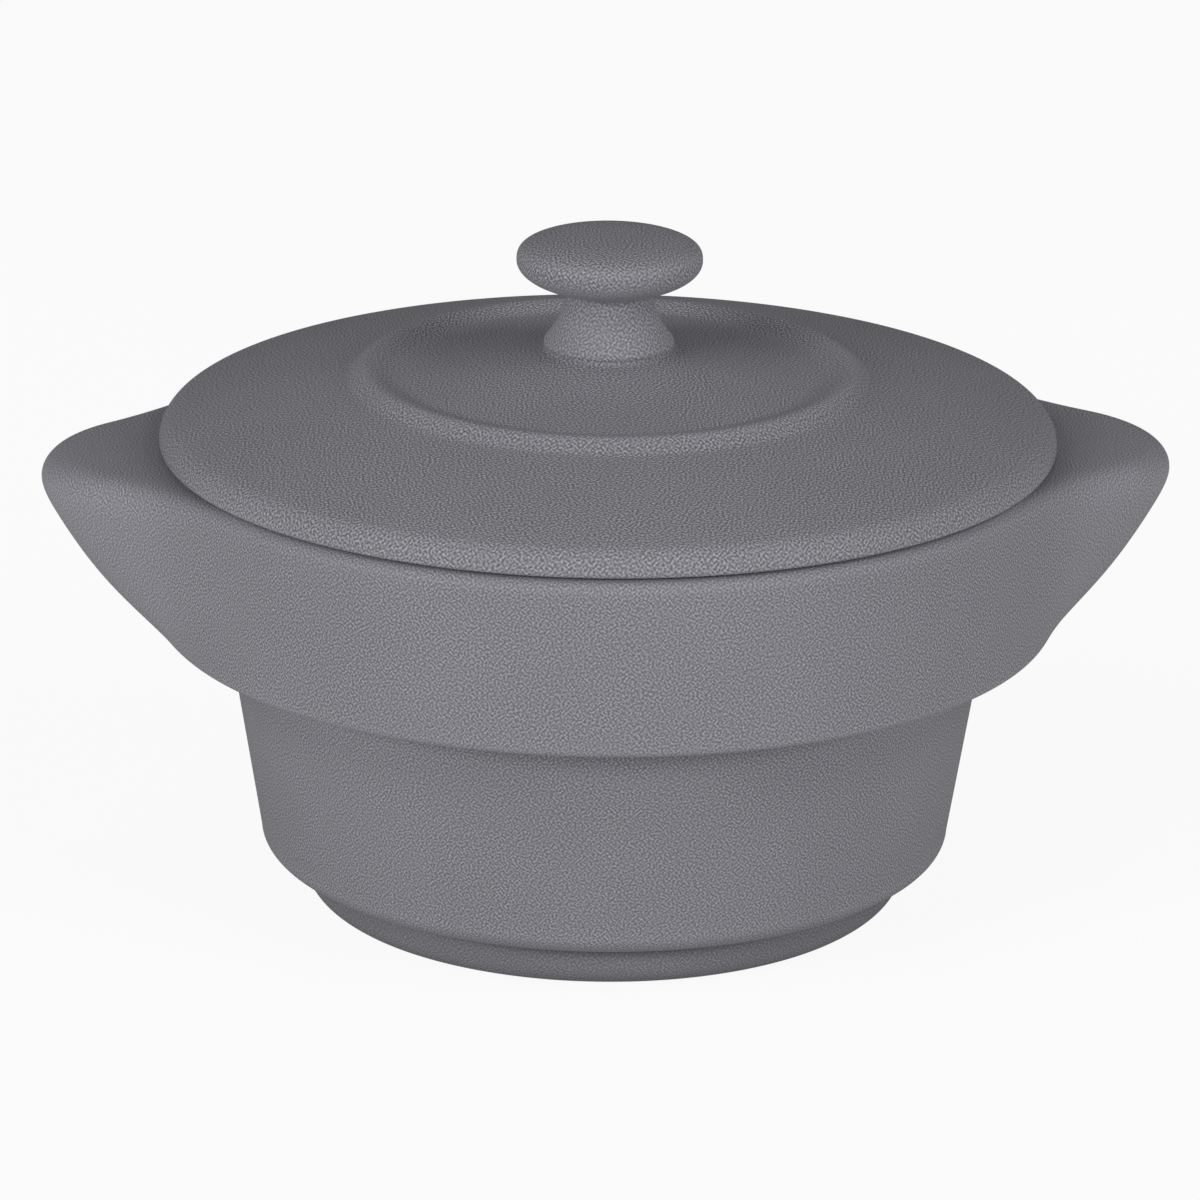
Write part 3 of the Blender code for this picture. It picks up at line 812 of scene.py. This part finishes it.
def make_grain():
    """The group: 0 in pits and 1 on crests, from noise less a quarter of each of its four neighbours."""
    sockets = {"Vector": "NodeSocketVector", "Around": "NodeSocketVector", "Along": "NodeSocketVector"}
    group, given, made = new_group("pebbled_grain", sockets, {"Crest": "NodeSocketFloat"})
    fine = scaled(group, given.outputs["Vector"], GRAIN_SIZE)
    stands_out = noise(group, fine, detail=0.0)
    for direction in ("Around", "Along"):
        for reach in (GRAIN_AROUND, -GRAIN_AROUND):
            step = scaled(group, given.outputs[direction], 1 / reach)
            beside = add(group, "ShaderNodeVectorMath", {0: fine, 1: step}, operation="ADD").outputs[0]
            neighbour = maths(group, "DIVIDE", noise(group, beside, detail=0.0), 4.0)
            stands_out = maths(group, "SUBTRACT", stands_out, neighbour)
    patch = noise(group, scaled(group, given.outputs["Vector"], GRAIN_PATCH), detail=2.0)
    faded = maths(group, "MULTIPLY", stands_out, span(group, patch, *PATCH_NOISE, *PATCH_STRENGTH))
    group.links.new(span(group, faded, GRAIN_PIT, GRAIN_TOP, 0.0, 1.0), made.inputs["Crest"])
    return group


grain_group = make_grain()
print("grain:", len(grain_group.nodes), "nodes, from noise of", 1000 * GRAIN_SIZE, "mm")

# %% [markdown]
# ## The glaze's tone
#
# The colour is a cool mid grey, paler on the pebbles' crests and deeper in the pits between them. It drifts
# a little over a few centimetres, is a touch paler along edges and deeper where it has pooled, paler still
# where light is painted and darker where shade is painted. A few dark dots stand for the specks of iron that
# are common in fired clay. As a group, the same tone serves pot and lid.

# %% Tone group
DRIFT_SIZE = 0.022
DRIFT_NOISE = (0.3, 0.7)
DRIFT_RANGE = (-0.015, 0.015)
THIN_AND_PAINTED_LIGHT_SHARE = 0.14
POOLED_AND_PAINTED_SHADE_SHARE = 0.38
SPECK_CELL = 0.011
SPECK_RADIUS = 0.00026
SPECK_RARITY = 0.86
SPECK_STRENGTH = 0.8
IRON = (0.035, 0.030, 0.028, 1.0)


def make_tone():
    """The group: deep to pale by the crest, then towards pale, deep and iron by the shares of each mark."""
    sockets = {"Vector": "NodeSocketVector", "Pale": "NodeSocketColor", "Deep": "NodeSocketColor",
               "Crest": "NodeSocketFloat", "Thin_and_painted_light": "NodeSocketFloat", "Pooled_and_painted_shade": "NodeSocketFloat"}
    group, given, made = new_group("glaze_tone", sockets, {"Color": "NodeSocketColor"})
    place, pale, deep = (given.outputs[name] for name in ("Vector", "Pale", "Deep"))
    slow = noise(group, scaled(group, place, DRIFT_SIZE), detail=3.0, roughness=0.55)
    crest = maths(group, "ADD", given.outputs["Crest"], span(group, slow, *DRIFT_NOISE, *DRIFT_RANGE))
    grained = mixed(group, crest, deep, pale)
    # Towards pale by thin glaze and painted light, then towards deep by pooled glaze and painted shade.
    thin_and_painted_light_tone = mixed(group, maths(group, "MULTIPLY", given.outputs["Thin_and_painted_light"], THIN_AND_PAINTED_LIGHT_SHARE), grained, pale)
    pooled_and_painted_shade_tone = mixed(group, maths(group, "MULTIPLY", given.outputs["Pooled_and_painted_shade"], POOLED_AND_PAINTED_SHADE_SHARE), thin_and_painted_light_tone, deep)
    dots = add(group, "ShaderNodeTexVoronoi", {"Vector": scaled(group, place, SPECK_CELL), "Scale": 1.0})
    dot_edge = SPECK_RADIUS / SPECK_CELL
    dot = span(group, dots.outputs["Distance"], 0.5 * dot_edge, dot_edge, 1.0, 0.0)
    chosen = add(group, "ShaderNodeSeparateColor", {0: dots.outputs["Color"]}).outputs[0]
    speck = maths(group, "MULTIPLY", dot, maths(group, "GREATER_THAN", chosen, SPECK_RARITY))
    specked = mixed(group, maths(group, "MULTIPLY", speck, SPECK_STRENGTH), pooled_and_painted_shade_tone, IRON)
    group.links.new(specked, made.inputs["Color"])
    return group


tone_group = make_tone()
print("tone:", len(tone_group.nodes), "nodes")

# %% [markdown]
# ## Bare clay
#
# Where no glaze lies, the fired body shows: a warm off-white with fine sand in it, matt and a little rough.
# It is seen only under the foot and on the flange, so one noise for both colour and height is enough.

# %% Clay group
CLAY_SAND = 0.00045
SAND_NOISE = (0.35, 0.7)
CLAY_DARK = (0.50, 0.45, 0.39, 1.0)
CLAY_PALE = (0.66, 0.61, 0.54, 1.0)


def make_clay():
    """The group: dark to pale clay by a sandy noise, which is also the height of the sand."""
    group, given, made = new_group("bare_clay", {"Vector": "NodeSocketVector"},
                                   {"Color": "NodeSocketColor", "Height": "NodeSocketFloat"})
    sand = noise(group, scaled(group, given.outputs["Vector"], CLAY_SAND), detail=3.0, roughness=0.65)
    colour = mixed(group, span(group, sand, *SAND_NOISE, 0.0, 1.0), CLAY_DARK, CLAY_PALE)
    group.links.new(colour, made.inputs["Color"])
    group.links.new(sand, made.inputs["Height"])
    return group


clay_group = make_clay()
print("clay:", len(clay_group.nodes), "nodes")

# %% [markdown]
# ## The glaze
#
# The glaze is matt and a touch shinier on the pebbles' crests. Inside, where food goes, it is smoother and
# shinier. Tone and grain come from the groups, and the marks on the mesh say where clay and inside are. The
# grain is far finer than the mesh, so it is a bump that reads a real height in metres.

# %% Glaze material
PIT_ROUGHNESS, CREST_ROUGHNESS = 0.78, 0.66
GLAZE_SHEEN = 0.35
GLAZE_IOR = 1.5
INSIDE_ROUGHNESS = 0.28
INSIDE_GRAIN = 0.12
CLAY_ROUGHNESS = 0.85


def mark(tree, name, output="Fac"):
    """An attribute of the mesh, by its name."""
    return add(tree, "ShaderNodeAttribute", attribute_name=name).outputs[output]


def use_group(tree, group, values):
    """A node that works this node group out from these values."""
    return add(tree, "ShaderNodeGroup", values, node_tree=group)


def make_glaze(name, start, pale, deep, coarseness, depth):
    """The finished material. Start shifts the pattern, in metres, so that no two pieces carry the same one.

    Pale and deep are the colours of the pebbles' crests and of the pits between them. Coarseness is how
    many times larger the pebbles are than the grain group's own, and depth is how deep the pits are.
    """
    material = bpy.data.materials.new(name)
    material.use_nodes = True
    tree = material.node_tree
    shader = tree.nodes["Principled BSDF"]
    coordinates = add(tree, "ShaderNodeTexCoord").outputs["Object"]
    moved = {"Vector": coordinates, "Location": start, "Scale": (1 / coarseness,) * 3}
    place = add(tree, "ShaderNodeMapping", moved).outputs[0]
    bare, inside = mark(tree, "bare"), mark(tree, "inside")
    directions = {"Around": mark(tree, "around", "Vector"), "Along": mark(tree, "along", "Vector")}
    crest = use_group(tree, grain_group, {"Vector": place, **directions}).outputs["Crest"]
    tone = use_group(tree, tone_group, {"Vector": place, "Pale": pale, "Deep": deep, "Crest": crest,
                                        "Thin_and_painted_light": mark(tree, "thin_and_painted_light"), "Pooled_and_painted_shade": mark(tree, "pooled_and_painted_shade")})
    clay = use_group(tree, clay_group, {"Vector": place})
    glazed_roughness = span(tree, crest, 0.0, 1.0, PIT_ROUGHNESS, CREST_ROUGHNESS)
    smooth_roughness = span(tree, inside, 0.0, 1.0, glazed_roughness, INSIDE_ROUGHNESS)
    tree.links.new(span(tree, bare, 0.0, 1.0, smooth_roughness, CLAY_ROUGHNESS), shader.inputs["Roughness"])
    colour = mixed(tree, bare, tone.outputs["Color"], clay.outputs["Color"])
    tree.links.new(colour, shader.inputs["Base Color"])
    glazed_height = maths(tree, "MULTIPLY", crest, span(tree, inside, 0.0, 1.0, 1.0, INSIDE_GRAIN))
    height = span(tree, bare, 0.0, 1.0, glazed_height, clay.outputs["Height"])
    bump = add(tree, "ShaderNodeBump", {"Height": height, "Strength": 1.0, "Distance": depth})
    tree.links.new(bump.outputs["Normal"], shader.inputs["Normal"])
    shader.inputs["IOR"].default_value = GLAZE_IOR
    shader.inputs["Specular IOR Level"].default_value = GLAZE_SHEEN
    return material


print("roughness:", PIT_ROUGHNESS, "in pits,", CREST_ROUGHNESS, "on crests,", INSIDE_ROUGHNESS, "inside")

# %% [markdown]
# ## One glaze on two castings
#
# Pot and lid wear the same glaze, so their materials differ only in where the pattern starts and in how
# strong it is. The lid is seen at a low angle, where fine grain runs together and fades, so its pebbles are
# made a little larger and its tones lie further apart, for the look.

# %% Glaze on pot and lid
POT_GRAIN = {"pale": (0.451, 0.447, 0.486, 1.0), "deep": (0.131, 0.129, 0.144, 1.0),
             "coarseness": 1.0, "depth": 0.00005}
LID_GRAIN = {"pale": (0.510, 0.505, 0.549, 1.0), "deep": (0.108, 0.107, 0.119, 1.0),
             "coarseness": 1.12, "depth": 0.00008}
POT_PATTERN_START = (0.0, 0.0, 0.0)
LID_PATTERN_START = (0.37, 0.11, 0.23)

pot.data.materials.append(make_glaze("pot_glaze_finish", POT_PATTERN_START, **POT_GRAIN))
lid.data.materials.append(make_glaze("lid_glaze_finish", LID_PATTERN_START, **LID_GRAIN))
print("materials:", pot.data.materials[0].name, lid.data.materials[0].name)

# %% [markdown]
# ## The table
#
# The pot stands on a plain white table. The camera sees it nearly white, by a share of plain white light in
# its material that only camera rays meet, while the rest of it still takes the pot's soft shadow. A shadow
# catcher would need a background to be put in behind it afterwards.

# %% Floor
FLOOR_HALF = 3.0
FLOOR_COLOUR = (0.86, 0.86, 0.86, 1.0)
FLOOR_ROUGHNESS = 0.9
FLOOR_WHITE_SHARE = 0.92
WHITE = (1.0, 1.0, 1.0, 1.0)


def make_floor():
    """A large square at height 0, whose material is part white for the camera and plain for other rays."""
    mesh = bpy.data.meshes.new("floor")
    corners = [(-FLOOR_HALF, -FLOOR_HALF, 0.0), (FLOOR_HALF, -FLOOR_HALF, 0.0),
               (FLOOR_HALF, FLOOR_HALF, 0.0), (-FLOOR_HALF, FLOOR_HALF, 0.0)]
    mesh.from_pydata(corners, [], [(0, 1, 2, 3)])
    floor = bpy.data.objects.new("floor", mesh)
    bpy.context.scene.collection.objects.link(floor)
    material = bpy.data.materials.new("floor_white")
    material.use_nodes = True
    tree = material.node_tree
    shader = tree.nodes["Principled BSDF"]
    shader.inputs["Base Color"].default_value = FLOOR_COLOUR
    shader.inputs["Roughness"].default_value = FLOOR_ROUGHNESS
    white = add(tree, "ShaderNodeEmission", {"Color": WHITE, "Strength": 1.0})
    camera_ray = add(tree, "ShaderNodeLightPath").outputs["Is Camera Ray"]
    seen = maths(tree, "MULTIPLY", camera_ray, FLOOR_WHITE_SHARE)
    both = add(tree, "ShaderNodeMixShader", {0: seen, 1: shader.outputs[0], 2: white.outputs[0]})
    tree.links.new(both.outputs[0], tree.nodes["Material Output"].inputs["Surface"])
    mesh.materials.append(material)
    return floor


print("table:", [round(side, 2) for side in make_floor().dimensions], "m")

# %% [markdown]
# ## Soft boxes
#
# Two low soft boxes stand one on each side of the camera, the left one a little stronger. They light the
# pot's front more than its top, so weaker boxes hang above them, overhead and behind it. Large area lamps
# are chosen because a matt glaze under small lamps would show hard shadows and bright spots.

# %% Soft boxes
LAMP_DISTANCE = 1.6
BOX_SIZE = (0.7, 0.45)
SOFT_BOXES = {
    "left_box": {"azimuth": -47.0, "elevation": 20.0, "power": 12.0},
    "right_box": {"azimuth": 47.0, "elevation": 20.0, "power": 9.0},
    "high_left_box": {"azimuth": -60.0, "elevation": 45.0, "power": 3.7},
    "high_right_box": {"azimuth": 60.0, "elevation": 45.0, "power": 3.9},
    "top_box": {"azimuth": 0.0, "elevation": 85.0, "power": 1.5},
    "back_box": {"azimuth": 180.0, "elevation": 55.0, "power": 0.8},
}


def from_object(azimuth, elevation, distance):
    """A place round the object. Azimuth 0 is in front of it, on -Y, and a negative one is to its left."""
    turn, tilt = math.radians(azimuth), math.radians(elevation)
    flat = math.cos(tilt)
    return Vector((math.sin(turn) * flat, -math.cos(turn) * flat, math.sin(tilt))) * distance


def make_box(name, azimuth, elevation, power):
    """A soft box: an area lamp that faces the foot of the object, with its power in watts."""
    lamp = bpy.data.lights.new(name, "AREA")
    lamp.shape = "RECTANGLE"
    lamp.size, lamp.size_y = BOX_SIZE
    lamp.energy = power
    held = bpy.data.objects.new(name, lamp)
    held.location = from_object(azimuth, elevation, LAMP_DISTANCE)
    held.rotation_euler = held.location.to_track_quat("Z", "Y").to_euler()
    bpy.context.scene.collection.objects.link(held)


for box_name, box in SOFT_BOXES.items():
    make_box(box_name, **box)
print("soft boxes:", {name: box["power"] for name, box in SOFT_BOXES.items()}, "W")

# %% [markdown]
# ## The room
#
# The room is white to the camera, which gives the white background. To all other rays it is a dim fill
# light, so that it doesn't wash out the soft boxes. Standard is the view transform that leaves white as
# white.

# %% Room
ROOM_LEVEL = 0.08


def make_room():
    """A white world, with full strength for camera rays and the room's own level for all others."""
    room = bpy.data.worlds.new("room")
    room.use_nodes = True
    tree = room.node_tree
    camera_ray = add(tree, "ShaderNodeLightPath").outputs["Is Camera Ray"]
    fill = tree.nodes["Background"]
    fill.inputs["Color"].default_value = WHITE
    tree.links.new(span(tree, camera_ray, 0.0, 1.0, ROOM_LEVEL, 1.0), fill.inputs["Strength"])
    bpy.context.scene.world = room


make_room()
bpy.context.scene.view_settings.view_transform = "Standard"
print("room level:", ROOM_LEVEL)

# %% [markdown]
# ## Camera
#
# The photograph looks down on the pot from the front through a long lens, turned by a few degrees. The
# picture is square, so the lens follows from how many pixels one radian covers at its middle. The camera is
# placed by two angles and a distance from a point in the pot, and is then aimed so that this point falls on
# its own pixel.

# %% Camera
IMAGE_WIDTH = 1200
SENSOR_WIDTH = 36.0
PIXELS_PER_RADIAN = 8016.6
CAMERA_AZIMUTH, CAMERA_ELEVATION, CAMERA_DISTANCE = -4.262, 18.079, 1.0786
CAMERA_ROLL = 0.5676
CAMERA_PIVOT = Vector((0.0, 0.0, 0.045))
PIVOT_PIXEL = (606.66, 570.57)

lens = bpy.data.cameras.new("camera")
lens.sensor_fit = "HORIZONTAL"
lens.sensor_width = SENSOR_WIDTH
lens.lens = PIXELS_PER_RADIAN * SENSOR_WIDTH / IMAGE_WIDTH
camera = bpy.data.objects.new("camera", lens)
back = from_object(CAMERA_AZIMUTH, CAMERA_ELEVATION, 1.0)
level_right = Vector((0.0, 0.0, 1.0)).cross(back).normalized()
roll = math.radians(CAMERA_ROLL)
right = level_right * math.cos(roll) + back.cross(level_right) * math.sin(roll)
up = back.cross(right)
metres_per_pixel = CAMERA_DISTANCE / PIXELS_PER_RADIAN
middle_pixel = IMAGE_WIDTH / 2
to_middle = Vector((middle_pixel - PIVOT_PIXEL[0], PIVOT_PIXEL[1] - middle_pixel)) * metres_per_pixel
place = CAMERA_PIVOT + back * CAMERA_DISTANCE
aim = CAMERA_PIVOT + right * to_middle.x + up * to_middle.y
back = (place - aim).normalized()
up = back.cross(right).normalized()
right = up.cross(back)
camera.matrix_world = Matrix((right, up, back)).transposed().to_4x4()
camera.location = place
bpy.context.scene.collection.objects.link(camera)
bpy.context.scene.camera = camera
print(f"lens {lens.lens:.1f} mm, {CAMERA_DISTANCE:.2f} m away")
